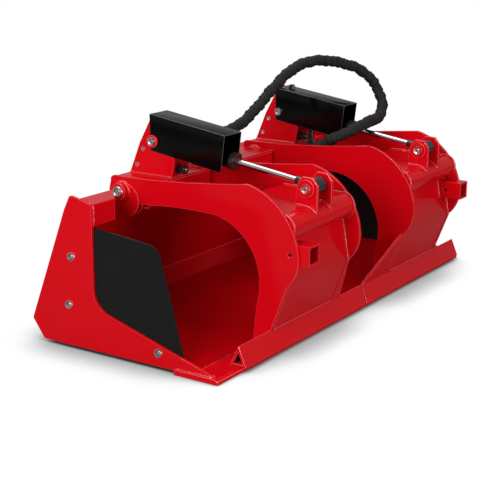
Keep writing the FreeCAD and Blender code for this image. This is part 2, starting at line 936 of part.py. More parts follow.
def base_collar():
    """Round pin keeper welded outside the left cover."""
    x1 = arm_centres["left"] - cover_width / 2 - face_gap
    return ring_x(base_y, base_z, 22.0, cylinder_pin_radius + running_gap, x1 - collar_thickness, x1)


# Pivot hardware on the outer side of each outer arm
def pivot_bosses():
    bosses = []
    for x, direction in pivot_boss_spans():
        x0 = min(x, x + direction * boss_length)
        bosses.append(ring_x(pivot_y, pivot_z, boss_radius, pin_radius + running_gap, x0, x0 + boss_length))
    return group(bosses)


def pivot_pins():
    pins = []
    for x, direction in pivot_boss_spans():
        outer = x + direction * boss_length
        inner = x - direction * (2 * ear_thickness + 2 * ear_gap + arm_thickness)
        shank = rod_x(pivot_y, pivot_z, pin_radius, min(outer, inner), max(outer, inner))
        pins.append(join([shank, round_head(outer, pivot_y, pivot_z, head_radius + 3.0, head_height, direction)]))
    return group(pins)


# Hose route as x, then y and z from the base pins. It runs from a swivel on the left
# cylinder's base axis, over the right cover, to a port under its barrel.
swivel_x = arm_centres["left"] + cover_width / 2 + face_gap + head_height + face_gap
swivel_length = 24.0
hose_route = [
    (swivel_x + swivel_length, 0.0, 0.0),
    (-135.0, -6.0, -14.0),
    (50.0, -30.0, -16.0),
    (182.0, -56.0, 60.0),
    (303.0, -102.0, 168.0),
    (458.0, -127.0, 205.0),
    (621.0, -182.0, 181.0),
    (736.0, -240.0, 114.0),
    (738.0, -292.0, 28.0),
    (605.0, -340.0, -24.0),
    (446.0, -380.0, -14.0),
    (345.0, -370.0, -34.0),
    (300.0, -302.0, -70.0),
    (316.0, -222.0, -120.0),
    (372.0, -160.0, -138.0),
    (arm_centres["right"] - 26.0, -134.0, -128.0),
]


def hose_line():
    """Evenly spaced points along one smooth curve through the route."""
    curve = Part.BSplineCurve()
    curve.interpolate([Vector(x, base_y + y, base_z + z) for x, y, z in hose_route])
    return curve.discretize(36)


def hose():
    """Tube on straight runs joined by tangent arcs, each as large as its runs allow."""
    points = hose_line()
    edges = []
    cursor = points[0]
    radii = []
    for i in range(1, len(points) - 1):
        back = points[i - 1].sub(points[i])
        ahead = points[i + 1].sub(points[i])
        shorter = min(back.Length, ahead.Length)
        back.normalize()
        ahead.normalize()
        turn = math.pi - math.acos(max(-1.0, min(1.0, back.dot(ahead))))
        radius = 0.45 * shorter / math.tan(turn / 2)
        radii.append(round(radius))
        start = points[i].add(back * (0.45 * shorter))
        stop = points[i].add(ahead * (0.45 * shorter))
        bisector = back.add(ahead).normalize()
        centre = points[i].add(bisector * (radius / math.cos(turn / 2)))
        middle = centre.sub(bisector * radius)
        edges.append(Part.LineSegment(cursor, start).toShape())
        edges.append(Part.Arc(start, middle, stop).toShape())
        cursor = stop
    edges.append(Part.LineSegment(cursor, points[-1]).toShape())
    path = Part.Wire(edges)
    direction = points[1].sub(points[0]).normalize()
    profile = Part.Wire(Part.makeCircle(hose_radius, points[0], direction))
    tube = path.makePipeShell([profile], True, False)
    expected = math.pi * hose_radius ** 2 * path.Length
    print("hose length", round(path.Length, 1), "volume share", round(tube.Volume / expected, 4))
    print("hose radii", radii, "least", min(radii))
    print("frame shift", round(frame_shift, 3))
    return tube


def hose_swivel(tube):
    """Coupling that turns about the left base pin's axis, its end seated on the hose."""
    return rod_x(base_y, base_z, fitting_radius + 1.0, swivel_x, swivel_x + swivel_length).cut(tube)


def hose_port():
    """Elbow block that joins the hose to the underside of the right barrel."""
    points = hose_line()
    direction = points[-1].sub(points[-2]).normalize()
    ferrule = Part.makeCylinder(hose_radius - 4.0, 30.0, points[-1], direction)
    bend = points[-1].add(direction * 26.0)
    riser = Part.makeCylinder(fitting_radius - 3.0, 110.0, bend, Vector(0, 0, 1))
    port = join([ferrule, riser])
    return port.cut(round_bar("right", barrel_radius, 0.0, barrel_length)).Solids[0]


def main():
    save("bucket_shell", bucket_shell())
    save("side_plate_left", side_plate(-half_width))
    save("side_plate_right", side_plate(inner_half))
    save("cutting_edge", cutting_edge())
    save("wear_strips", wear_strips())
    save("corner_boxes", group([corner_box(-1), corner_box(1)]))
    save("top_beams", group([top_beam(x0, x1) for x0, x1 in beam_spans()]))
    save("top_deck", top_deck())
    save("coupling_plate", coupling_plate())
    save("coupling_lip", coupling_lip())
    save("coupling_ribs", coupling_ribs())
    save("pivot_ears", group([ear_shape(x) for x in ear_places()]))
    save("pivot_bosses", pivot_bosses())
    save("pivot_pins", pivot_pins())
    save("side_panel_left", side_panel(-inner_half))
    save("side_panel_right", side_panel(inner_half - panel_thickness))
    save("panel_bolts", panel_bolts())
    save("base_collar", base_collar())
    save("base_pins", group([base_pin(side) for side in sides]))
    save("upright_ties", group([upright_tie(side) for side in sides]))
    save("upright_bolts", group(upright_bolts("left") + upright_bolts("right")))
    save("fittings", group([fitting(side) for side in sides]))
    for side in sides:
        save("uprights_" + side, upright_pair(side))
        save("arm_left_" + side, arm_of(side, "left"))
        save("arm_right_" + side, arm_of(side, "right"))
        save("torque_tube_" + side, torque_tube(side))
        save("face_plate_" + side, face_plate(side))
        save("top_skin_" + side, top_skin(side))
        save("clamp_bar_" + side, clamp_bar(side))
        save("bar_base_" + side, clamp_bar_base(side))
        save("clevis_lugs_" + side, lug_pair(side))
        save("clevis_collars_" + side, clevis_collars(side))
        save("clevis_pin_" + side, clevis_pin(side))
        save("receiver_" + side, receiver_tube(side))
        save("barrel_" + side, barrel(side))
        save("gland_" + side, gland(side))
        save("cover_" + side, cover(side))
        save("rod_" + side, rod(side))
        save("rod_end_" + side, rod_end(side))
    left_arm = arm_centres["left"] + arm_outer_width / 2
    right_arm = arm_centres["right"] - arm_outer_width / 2
    save("gusset_left", sloping_plate(left_arm, left_arm + 45.0))
    save("gusset_right", sloping_plate(right_arm, bar_ends("right")[0] + 10.0))
    tube = hose()
    save("hose", tube)
    save("hose_fittings", group([hose_swivel(tube), hose_port()]))


main()
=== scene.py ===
# %% [markdown]
# # A grapple bucket in red powder coat
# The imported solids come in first. They are the real steel plates, tubes and pins, and they
# stay where they are. Everything below either finishes those plates or adds what a welder
# and a fitter would add: beads, bolt heads, hose sleeve and hydraulic fittings.

# %% Load the solids
import bpy
import json
import math
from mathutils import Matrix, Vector

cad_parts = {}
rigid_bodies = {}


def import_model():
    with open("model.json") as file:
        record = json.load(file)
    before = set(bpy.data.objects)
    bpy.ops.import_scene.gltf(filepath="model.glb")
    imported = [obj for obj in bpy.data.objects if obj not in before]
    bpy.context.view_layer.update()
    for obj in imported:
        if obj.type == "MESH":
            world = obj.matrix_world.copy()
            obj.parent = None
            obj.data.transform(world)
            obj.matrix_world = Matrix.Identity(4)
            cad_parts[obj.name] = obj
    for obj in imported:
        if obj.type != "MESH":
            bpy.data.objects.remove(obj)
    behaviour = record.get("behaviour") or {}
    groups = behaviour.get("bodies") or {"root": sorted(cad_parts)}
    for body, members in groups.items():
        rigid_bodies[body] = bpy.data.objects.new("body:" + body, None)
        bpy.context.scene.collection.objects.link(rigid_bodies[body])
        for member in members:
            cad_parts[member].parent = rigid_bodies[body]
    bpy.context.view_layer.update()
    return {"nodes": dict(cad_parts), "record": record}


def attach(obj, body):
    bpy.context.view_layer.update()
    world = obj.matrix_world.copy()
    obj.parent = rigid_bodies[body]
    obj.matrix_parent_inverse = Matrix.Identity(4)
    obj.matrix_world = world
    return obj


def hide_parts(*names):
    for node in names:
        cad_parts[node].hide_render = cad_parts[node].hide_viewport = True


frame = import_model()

bodies = frame["record"]["behaviour"]["bodies"]
carrier = {node: body for body, nodes in bodies.items() for node in nodes}

# %% [markdown]
# The photograph was taken from the left front corner, a little above the top of the bucket.
# The camera comes before any piece, because every size is judged through it. The lens is
# long, so the bucket's far end hardly shrinks.

# %% Camera
LENS_MM = 90.57
TILT_DOWN = 0.258
TURN_RIGHT = 0.979
camera_data = bpy.data.cameras.new("photo_camera")
camera_data.lens = LENS_MM
camera_data.sensor_width = 36.0
camera_data.clip_end = 60.0
camera = bpy.data.objects.new("photo_camera", camera_data)
bpy.context.scene.collection.objects.link(camera)
camera.location = (-3.6656, -2.3264, 1.3574)
camera.rotation_euler = (math.pi / 2 - TILT_DOWN, 0.0, -TURN_RIGHT)
bpy.context.scene.camera = camera
print("camera", [round(v, 3) for v in camera.location])

# %% [markdown]
# Sizes come from the workshop drawing in millimetres, measured from the cutting edge's tip,
# and `at` turns one into the row frame's metres. Pins and tubes that run along X are named by
# their y and z, because welds, heads and rods all line up with them.

# %% Helpers for places and selection
EDGE_TIP_Y = -366.319
GRAPPLE_X = {"left": -356.021, "right": 457.914}
SIDES = ("left", "right")
PIVOT = (598.0, 476.0)
BASE_PIN = (592.0, 622.0)
ROD_PIN = (-30.0, 530.0)
TORQUE_TUBE = (-24.0, 428.0)
ARM_INSIDE = 194.0
ARM_OUTSIDE = 206.0
ROLLED_EDGE = 0.0014


def at(x, y, z):
    return Vector((x / 1000.0, (y + EDGE_TIP_Y) / 1000.0, z / 1000.0))


def deselect():
    if bpy.context.mode != "OBJECT":
        bpy.ops.object.mode_set(mode="OBJECT")
    bpy.ops.object.select_all(action="DESELECT")


def pick(obj):
    deselect()
    obj.select_set(True)
    bpy.context.view_layer.objects.active = obj


def apply_place(obj):
    pick(obj)
    bpy.ops.object.transform_apply(location=True, rotation=True, scale=True)


def finish_piece(obj, name, material, body, angle=30.0):
    """Name a new piece, give it its finish and let it ride on its body."""
    apply_place(obj)
    obj.name = name
    obj.data.name = name
    bpy.ops.object.shade_smooth_by_angle(angle=math.radians(angle))
    if material:
        obj.data.materials.clear()
        obj.data.materials.append(material)
    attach(obj, body)
    return obj


def join_all(objects):
    pick(objects[0])
    for obj in objects:
        obj.select_set(True)
    if len(objects) > 1:
        bpy.ops.object.join()
    return bpy.context.view_layer.objects.active


# %% [markdown]
# Powder coat is sprayed as dust and melted, so it is glossy but never quite flat: it has a
# fine orange peel. One group makes the peel and a slow cloudiness of tone, and each coat
# uses it with its own scale. The paler line along every edge is a painted highlight, given by
# the edge coats further on.

# %% Shared surface groups
def new_group(name, inputs, outputs):
    group = bpy.data.node_groups.new(name, "ShaderNodeTree")
    for label, kind, value in inputs:
        socket = group.interface.new_socket(label, in_out="INPUT", socket_type=kind)
        socket.default_value = value
    for label, kind in outputs:
        group.interface.new_socket(label, in_out="OUTPUT", socket_type=kind)
    start = group.nodes.new("NodeGroupInput")
    end = group.nodes.new("NodeGroupOutput")
    return group, start, end


def coat_group():
    """Orange peel height and a slow cloudiness, both from Object coordinates."""
    group, start, end = new_group(
        "coat_surface",
        [("Peel scale", "NodeSocketFloat", 300.0), ("Cloud scale", "NodeSocketFloat", 4.0),
         ("Tone A", "NodeSocketColor", (1, 1, 1, 1)), ("Tone B", "NodeSocketColor", (1, 1, 1, 1))],
        [("Color", "NodeSocketColor"), ("Height", "NodeSocketFloat"), ("Rough", "NodeSocketFloat")])
    nodes, links = group.nodes, group.links
    place = nodes.new("ShaderNodeTexCoord")
    peel = nodes.new("ShaderNodeTexNoise")
    peel.inputs["Detail"].default_value = 1.0
    cloud = nodes.new("ShaderNodeTexNoise")
    cloud.inputs["Detail"].default_value = 4.0
    links.new(place.outputs["Object"], peel.inputs["Vector"])
    links.new(place.outputs["Object"], cloud.inputs["Vector"])
    links.new(start.outputs["Peel scale"], peel.inputs["Scale"])
    links.new(start.outputs["Cloud scale"], cloud.inputs["Scale"])
    tone = nodes.new("ShaderNodeMix")
    tone.data_type = "RGBA"
    links.new(cloud.outputs["Fac"], tone.inputs["Factor"])
    links.new(start.outputs["Tone A"], tone.inputs["A"])
    links.new(start.outputs["Tone B"], tone.inputs["B"])
    rough = nodes.new("ShaderNodeMapRange")
    rough.inputs["From Min"].default_value = 0.3
    rough.inputs["From Max"].default_value = 0.7
    rough.inputs["To Min"].default_value = 0.13
    rough.inputs["To Max"].default_value = 0.19
    links.new(cloud.outputs["Fac"], rough.inputs["Value"])
    links.new(tone.outputs["Result"], end.inputs["Color"])
    links.new(peel.outputs["Fac"], end.inputs["Height"])
    links.new(rough.outputs["Result"], end.inputs["Rough"])
    return group


coat_surface = coat_group()
print("group", coat_surface.name)

# %% [markdown]
# The coats differ in colour and in how much clear gloss stands on them. The inside of the
# bucket gets a darker, duller red, which is painted shade. The coat flows thick and glossy
# round a weld bead, and its tone there is a little paler, a painted highlight.

# %% Materials for steel in its coats
def coat_material(name, tone_a, tone_b, coat, specular, peel=0.006, peel_scale=300.0):
    """Sprayed coat on steel plate: two close tones, clear gloss, shine, and orange peel."""
    material = bpy.data.materials.new(name)
    material.use_nodes = True
    nodes, links = material.node_tree.nodes, material.node_tree.links
    shader = nodes["Principled BSDF"]
    surface = nodes.new("ShaderNodeGroup")
    surface.node_tree = coat_surface
    surface.inputs["Tone A"].default_value = (*tone_a, 1.0)
    surface.inputs["Tone B"].default_value = (*tone_b, 1.0)
    surface.inputs["Peel scale"].default_value = peel_scale
    bump = nodes.new("ShaderNodeBump")
    bump.inputs["Strength"].default_value = peel
    bump.inputs["Distance"].default_value = 0.001
    links.new(surface.outputs["Color"], shader.inputs["Base Color"])
    links.new(surface.outputs["Rough"], shader.inputs["Roughness"])
    links.new(surface.outputs["Height"], bump.inputs["Height"])
    links.new(bump.outputs["Normal"], shader.inputs["Normal"])
    shader.inputs["Coat Weight"].default_value = coat
    shader.inputs["Coat Roughness"].default_value = 0.08
    shader.inputs["Specular IOR Level"].default_value = specular
    return material


def metal_material(name, tone, roughness, grain_scale, grain):
    """Bare or plated steel with a fine turned grain."""
    material = bpy.data.materials.new(name)
    material.use_nodes = True
    nodes, links = material.node_tree.nodes, material.node_tree.links
    shader = nodes["Principled BSDF"]
    place = nodes.new("ShaderNodeTexCoord")
    noise = nodes.new("ShaderNodeTexNoise")
    noise.inputs["Scale"].default_value = grain_scale
    noise.inputs["Detail"].default_value = 3.0
    rough = nodes.new("ShaderNodeMapRange")
    rough.inputs["To Min"].default_value = roughness * 0.8
    rough.inputs["To Max"].default_value = roughness * 1.3
    bump = nodes.new("ShaderNodeBump")
    bump.inputs["Strength"].default_value = grain
    bump.inputs["Distance"].default_value = 0.0005
    links.new(place.outputs["Object"], noise.inputs["Vector"])
    links.new(noise.outputs["Fac"], rough.inputs["Value"])
    links.new(rough.outputs["Result"], shader.inputs["Roughness"])
    links.new(noise.outputs["Fac"], bump.inputs["Height"])
    links.new(bump.outputs["Normal"], shader.inputs["Normal"])
    shader.inputs["Base Color"].default_value = (*tone, 1.0)
    shader.inputs["Metallic"].default_value = 1.0
    return material


red_coat = coat_material("red_powder_coat", (0.71, 0.0022, 0.0085), (0.65, 0.0018, 0.007),
                         coat=0.08, specular=0.13)
# Edge coats: their paler tones are a painted highlight along every rolled edge.
red_painted_edge_highlight = coat_material("red_coat_edge", (0.95, 0.11, 0.12), (0.85, 0.05, 0.07),
                         coat=0.7, specular=0.6)
# Painted shade: a darker red without gloss for the inside of the shell.
shell_painted_shade_coat = coat_material("red_coat_inside", (0.50, 0.0014, 0.0045), (0.45, 0.0012, 0.004),
                          coat=0.0, specular=0.035)
# Weld coat: real gloss, and a paler, pinker tone that is a painted highlight on the beads.
bead_coat = coat_material("red_coat_on_welds", (0.72, 0.010, 0.016), (0.62, 0.004, 0.010),
                          coat=0.7, specular=0.6)
black_gloss = coat_material("black_gloss_coat", (0.0012, 0.0012, 0.0014), (0.002, 0.002, 0.0021),
                            coat=0.12, specular=0.16, peel=0.01)
# Painted highlight: a grey edge coat for the rolled edges of black parts.
black_painted_edge_highlight = coat_material("black_coat_edge", (0.10, 0.10, 0.10), (0.05, 0.05, 0.05),
                           coat=0.8, specular=0.6, peel=0.01)
black_satin = coat_material("black_satin_coat", (0.0105, 0.010, 0.010), (0.013, 0.0125, 0.012),
                            coat=0.0, specular=0.12, peel=0.06, peel_scale=900.0)
# Blackened steel for the fittings; the same black also paints shade inside the clamp bars.
blackened_steel_and_painted_shade = coat_material("black_oxide_steel", (0.010, 0.010, 0.010), (0.022, 0.022, 0.021),
                            coat=0.2, specular=0.5, peel=0.08, peel_scale=900.0)
zinc = metal_material("zinc_plated_steel", (0.80, 0.80, 0.78), 0.24, 900.0, 0.02)
chrome = metal_material("hard_chrome", (0.80, 0.81, 0.82), 0.14, 300.0, 0.0)
finishes = {"red_coat": red_coat, "black_coat": black_gloss, "black_liner": black_satin,
            "bright_steel": zinc, "chrome_rod": chrome, "black_fitting": blackened_steel_and_painted_shade}
edge_coats_with_painted_highlight = {**finishes, "red_coat": red_painted_edge_highlight, "black_coat": black_painted_edge_highlight}
print("coats", sorted(finishes))

# %% [markdown]
# A plasma cut plate never has a knife edge, and the coat rolls over what is left of it. That
# thin rounded edge is what catches the light along every plate in the photograph. The solids
# are triangles with sharp corners, so a copy of each is merged, its flat faces are dissolved,
# and a narrow bevel is run along its real edges. The copy then stands for the solid. The
# pieces named first aren't copied, because they are made again with more detail further on.

# %% Soften the plates
slot_of = {row["node"]: row["material_slot"] for row in frame["record"]["subparts"]}
made_again = {"hose", "panel_bolts", "upright_bolts", "pivot_pins", "base_pins", "fittings"}
for side in SIDES:
    made_again |= {part + side for part in ("clevis_pin_", "rod_", "cover_", "clevis_lugs_")}


def roll_edges(plate, width, segments, angle):
    """Bevel the edges sharper than an angle in degrees, in the second material; on coated steel that is a
    paler edge coat, a painted highlight.
    """
    bevel = plate.modifiers.new("rolled_edge", "BEVEL")
    bevel.width = width
    bevel.segments = segments
    bevel.limit_method = "ANGLE"
    bevel.angle_limit = math.radians(angle)
    bevel.material = 1
    bpy.ops.object.modifier_apply(modifier=bevel.name)


def soften(node):
    """A merged copy of a solid with rolled edges, standing for it."""
    pick(frame["nodes"][node])
    bpy.ops.object.duplicate()
    plate = bpy.context.view_layer.objects.active
    bpy.ops.object.parent_clear(type="CLEAR_KEEP_TRANSFORM")
    bpy.ops.object.mode_set(mode="EDIT")
    bpy.ops.mesh.select_all(action="SELECT")
    bpy.ops.mesh.remove_doubles(threshold=0.00001)
    bpy.ops.mesh.dissolve_limited(angle_limit=math.radians(1.0))
    bpy.ops.object.mode_set(mode="OBJECT")
    plate.data.materials.clear()
    plate.data.materials.append(finishes[slot_of[node]])
    # The second material paints a highlight along the rolled edges.
    plate.data.materials.append(edge_coats_with_painted_highlight[slot_of[node]])
    roll_edges(plate, ROLLED_EDGE, 2, 35)
    finish_piece(plate, "coated_" + node, None, carrier[node], 32.0)
    flat = plate.modifiers.new("flat_faces", "WEIGHTED_NORMAL")
    flat.keep_sharp = True
    flat.weight = 80
    bpy.ops.object.modifier_apply(modifier=flat.name)
    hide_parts(node)
    return plate


plates = {}
for node in sorted(frame["nodes"]):
    if node not in made_again:
        plates[node] = soften(node)
# The third material paints shade: black steel on the faces inside the clamp bars, and a darker, duller red
# on the inside of the shell.
for side in SIDES:
    bar = plates["clamp_bar_" + side]
    # Painted shade: the faces inside each clamp bar that look down and inward are coloured black.
    bar.data.materials.append(blackened_steel_and_painted_shade)
    for face in bar.data.polygons:
        if -0.9 < face.normal.z < -0.2 and abs(face.normal.x) < 0.5:
            face.material_index = 2
shell = plates["bucket_shell"]
# Painted shade: the shell's faces that look up or towards the mouth take the darker inside coat.
shell.data.materials.append(shell_painted_shade_coat)
for face in shell.data.polygons:
    if face.material_index == 0 and (face.normal.z > 0.1 or face.normal.y < -0.3):
        face.material_index = 2
print("softened", len(plates))

# %% [markdown]
# The liner plates are held by button head screws with a hex socket. One head is turned from a
# disc: its rim is bevelled round, and the socket is an inset six-sided face pushed in. It is
# modelled once along +X and copied to each place.

# %% Button head screws
def button_head(radius, height):
    """A domed head with a hex socket, its seat at the origin, facing +X."""
    deselect()
    bpy.ops.mesh.primitive_cylinder_add(vertices=24, radius=radius, depth=height,
                                        location=(height / 2, 0, 0), rotation=(0, math.pi / 2, 0))
    head = bpy.context.view_layer.objects.active
    apply_place(head)
    bpy.ops.object.mode_set(mode="EDIT")
    bpy.ops.mesh.select_all(action="DESELECT")
    bpy.ops.object.mode_set(mode="OBJECT")
    for face in head.data.polygons:
        face.select = face.normal.x > 0.9
    bpy.ops.object.mode_set(mode="EDIT")
    bpy.ops.mesh.bevel(offset=height * 0.6, segments=4, affect="EDGES")
    bpy.ops.object.mode_set(mode="OBJECT")
    for face in head.data.polygons:
        face.select = face.normal.x > 0.99 and face.area > radius * radius * 0.3
    bpy.ops.object.mode_set(mode="EDIT")
    bpy.ops.mesh.inset(thickness=radius * 0.22)
    bpy.ops.mesh.inset(thickness=radius * 0.02, depth=-height * 0.55)
    bpy.ops.object.mode_set(mode="OBJECT")
    return head


def head_at(radius, height, x, y, z, direction):
    """A button head in mm with its seat at (x, y, z), facing +X or -X."""
    head = button_head(radius / 1000.0, height / 1000.0)
    if direction < 0:
        bpy.ops.transform.rotate(value=math.pi, orient_axis="Z", center_override=(0, 0, 0))
    head.location = at(x, y, z)
    apply_place(head)
    return head


def place_heads(name, radius, height, places, node):
    """One head at every (x, y, z, direction) place, standing for a node of bolts."""
    heads = [head_at(radius, height, *place) for place in places]
    whole = finish_piece(join_all(heads), name, zinc, "bucket", 40.0)
    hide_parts(node)
    print(name, len(places))
    return whole


LINER_SEAT = 863.5
UPRIGHT_SEAT = 46.0
liner_places = []
for y, z in ((577.0, 315.0), (593.0, 151.0), (229.0, 57.0)):
    liner_places += [(-LINER_SEAT, y, z, -1), (LINER_SEAT, y, z, 1)]
place_heads("liner_screws", 10.8, 6.0, liner_places, "panel_bolts")
upright_places = []
for side in SIDES:
    c = GRAPPLE_X[side]
    for y, z in ((668.0, 532.0), (640.0, 590.0)):
        upright_places += [(c - UPRIGHT_SEAT, y, z, -1), (c + UPRIGHT_SEAT, y, z, 1)]
place_heads("upright_screws", 6.0, 4.0, upright_places, "upright_bolts")

# %% [markdown]
# Every joint of the bucket turns on a plain steel pin. It is a turned bar with a screw in its
# end, so each is drawn as a bar with the same socket head as the liner screws, one size up.

# %% Pins
def turned_bar(y, z, radius, x0, x1):
    """A plain bar along X, in mm."""
    deselect()
    bpy.ops.mesh.primitive_cylinder_add(vertices=32, radius=radius / 1000.0, depth=(x1 - x0) / 1000.0,
                                        location=at((x0 + x1) / 2, y, z), rotation=(0, math.pi / 2, 0))
    bar = bpy.context.view_layer.objects.active
    apply_place(bar)
    return bar


def socket_pin(name, place, radius, head, spans, node):
    """Bars with button heads; spans are (x0, x1, directions that carry a head)."""
    pieces = []
    for x0, x1, directions in spans:
        pieces.append(turned_bar(*place, radius, x0, x1))
        for direction in directions:
            pieces.append(head_at(head, 8.0, x1 if direction > 0 else x0, *place, direction))
    pin = finish_piece(join_all(pieces), name, zinc, carrier[node], 40.0)
    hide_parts(node)
    return pin


pivot_spans = []
base_spans = []
for side in SIDES:
    middle = GRAPPLE_X[side]
    pivot_spans.append((middle - 241.0, middle - 183.0, (-1,)))
    pivot_spans.append((middle + 183.0, middle + 241.0, (1,)))
    base_spans.append((middle - (61.3 if side == "left" else 51.3), middle + 51.3, (-1, 1)))
    clevis_span = (middle - 62.0, middle + 62.0, (-1, 1))
    socket_pin("clevis_bar_" + side, ROD_PIN, 9.5, 12.0, [clevis_span], "clevis_pin_" + side)
socket_pin("pivot_bars", PIVOT, 12.7, 15.0, pivot_spans, "pivot_pins")
socket_pin("base_bars", BASE_PIN, 9.5, 10.5, base_spans, "base_pins")
print("pins", len(pivot_spans) + len(base_spans) + len(SIDES))

# %% [markdown]
# A piston rod is ground and hard chromed, the smoothest part of the whole bucket. It is turned
# here as one bar with its piston, laid along the cylinder's axis from base pin to rod pin.

# %% Piston rods
AXIS_LENGTH = math.dist(BASE_PIN, ROD_PIN)
AXIS = ((ROD_PIN[0] - BASE_PIN[0]) / AXIS_LENGTH, (ROD_PIN[1] - BASE_PIN[1]) / AXIS_LENGTH)


def on_axis(side, along, above=0.0, aside=0.0):
    """Row-frame place at a distance along a cylinder, above it and beside it, in mm."""
    return at(GRAPPLE_X[side] + aside, BASE_PIN[0] + AXIS[0] * along - AXIS[1] * above,
              BASE_PIN[1] + AXIS[1] * along - AXIS[0] * above)


def axis_bar(side, radius, start, stop, sides=48):
    """A bar round the cylinder's axis between two distances from the base pin."""
    deselect()
    a = on_axis(side, start)
    b = on_axis(side, stop)
    tilt = (b - a).to_track_quat("Z", "Y").to_euler()
    bpy.ops.mesh.primitive_cylinder_add(vertices=sides, radius=radius / 1000.0, depth=(b - a).length,
                                        location=(a + b) / 2, rotation=tilt)
    bar = bpy.context.view_layer.objects.active
    apply_place(bar)
    return bar


for side in SIDES:
    rod = "rod_" + side
    shaft = axis_bar(side, 10.5, 160.0, AXIS_LENGTH - 73.0)
    piston = axis_bar(side, 19.9, 160.0, 185.0)
    ground = finish_piece(join_all([shaft, piston]), "ground_" + rod, chrome, rod, 40.0)
    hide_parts(rod)
print("rods", len(SIDES), "axis", round(AXIS_LENGTH, 2))

# %% [markdown]
# Each cylinder lies under a cover folded from thin plate, open below and at both ends, so that
# the rod can run and the hose can come in. It is a cube with its corners moved to the drawing,
# three of its faces taken away and the rest thickened. Its front end is cut square to the
# cylinder and its rear end upright. Two port nuts stand on the rear top of the right cover.

# %% Folded covers
COVER_CORNERS = {(False, True): (292.0, 669.0), (False, False): (308.0, 541.0),
                 (True, True): (607.0, 716.0), (True, False): (605.0, 588.0)}
COVER_HALF_WIDTH = 51.0


def folded_cover(side):
    """A folded cover; its corners are keyed by whether they are at the rear and at the top."""
    deselect()
    bpy.ops.mesh.primitive_cube_add(size=1.0)
    shell = bpy.context.view_layer.objects.active
    for vertex in shell.data.vertices:
        y, z = COVER_CORNERS[(vertex.co.y > 0, vertex.co.z > 0)]
        vertex.co = at(GRAPPLE_X[side] + math.copysign(COVER_HALF_WIDTH, vertex.co.x), y, z)
    shell.data.update()
    bpy.ops.object.mode_set(mode="EDIT")
    bpy.ops.mesh.select_mode(type="FACE")
    bpy.ops.mesh.select_all(action="DESELECT")
    bpy.ops.object.mode_set(mode="OBJECT")
    for face in shell.data.polygons:
        face.select = not (abs(face.normal.x) > 0.9 or face.normal.z > 0.8)
    bpy.ops.object.mode_set(mode="EDIT")
    bpy.ops.mesh.delete(type="FACE")
    bpy.ops.mesh.select_mode(type="VERT")
    bpy.ops.object.mode_set(mode="OBJECT")
    wall = shell.modifiers.new("wall", "SOLIDIFY")
    wall.thickness = 0.003
    wall.offset = -1.0
    bpy.ops.object.modifier_apply(modifier=wall.name)
    shell.data.materials.append(black_gloss)
    # The edge coat paints a grey highlight along the cover's rolled edges.
    shell.data.materials.append(black_painted_edge_highlight)
    roll_edges(shell, 0.0022, 3, 50)
    finish_piece(shell, "folded_cover_" + side, None, "cylinder_" + side, 32.0)
    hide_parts("cover_" + side)
    return shell


for side in SIDES:
    cover = folded_cover(side)
    print(cover.name, len(cover.data.polygons))
    nut = axis_bar(side, 31.5, 304.0, 319.0, 12)
    finish_piece(nut, "gland_nut_" + side, blackened_steel_and_painted_shade, "cylinder_" + side, 20.0)

ports = []
for along, aside in ((8.0, -16.0), (38.0, 14.0)):
    for corners, radius, depth, above in ((6, 0.015, 0.012, 96.0), (24, 0.010, 0.022, 98.0)):
        deselect()
        bpy.ops.mesh.primitive_cylinder_add(vertices=corners, radius=radius, depth=depth,
                                            location=on_axis("right", along, above, aside))
        ports.append(bpy.context.view_layer.objects.active)
finish_piece(join_all(ports), "cover_port_nuts", blackened_steel_and_painted_shade, "cylinder_right", 30.0)

# %% [markdown]
# The rod's eye sits between two lugs. They are thick plates with clipped corners, burnt out of
# the same stock as the arms and set astride the torque tube.

# %% Lugs
def plate_piece(outline, x0, x1):
    """An n-gon through (y, z) corners, pushed out along X, its sharp edges rolled."""
    deselect()
    bpy.ops.mesh.primitive_circle_add(vertices=len(outline), radius=1.0, fill_type="NGON")
    plate = bpy.context.view_layer.objects.active
    for vertex, (y, z) in zip(plate.data.vertices, outline):
        vertex.co = at(x0, y, z)
    bpy.ops.object.mode_set(mode="EDIT")
    bpy.ops.mesh.select_all(action="SELECT")
    bpy.ops.mesh.extrude_region_move(TRANSFORM_OT_translate={"value": ((x1 - x0) / 1000.0, 0, 0)})
    bpy.ops.mesh.select_all(action="SELECT")
    bpy.ops.mesh.normals_make_consistent(inside=False)
    bpy.ops.object.mode_set(mode="OBJECT")
    plate.data.materials.append(red_coat)
    # The edge coat paints a highlight along the lug's rolled edges.
    plate.data.materials.append(red_painted_edge_highlight)
    roll_edges(plate, ROLLED_EDGE, 2, 25)
    return plate


LUG_OUTLINE = [(-67.0, 450.0), (-67.5, 541.0), (-50.0, 565.0), (-12.0, 567.0), (6.0, 548.0),
               (12.0, 500.0), (17.0, 450.0)]
for side in SIDES:
    c = GRAPPLE_X[side]
    pair = [plate_piece(LUG_OUTLINE, c - 52.0, c - 40.0), plate_piece(LUG_OUTLINE, c + 40.0, c + 52.0)]
    lugs = finish_piece(join_all(pair), "lugs_" + side, None, "grapple_" + side, 20.0)
    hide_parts("clevis_lugs_" + side)
print("lugs", 2 * len(SIDES))

# %% [markdown]
# Under each cylinder a bulkhead fitting faces forward from the tie plate: a hex nut, a short
# body and a round dust cap with a bare steel button in the middle.

# %% Bulkhead fittings
FITTING_Z = 524.0


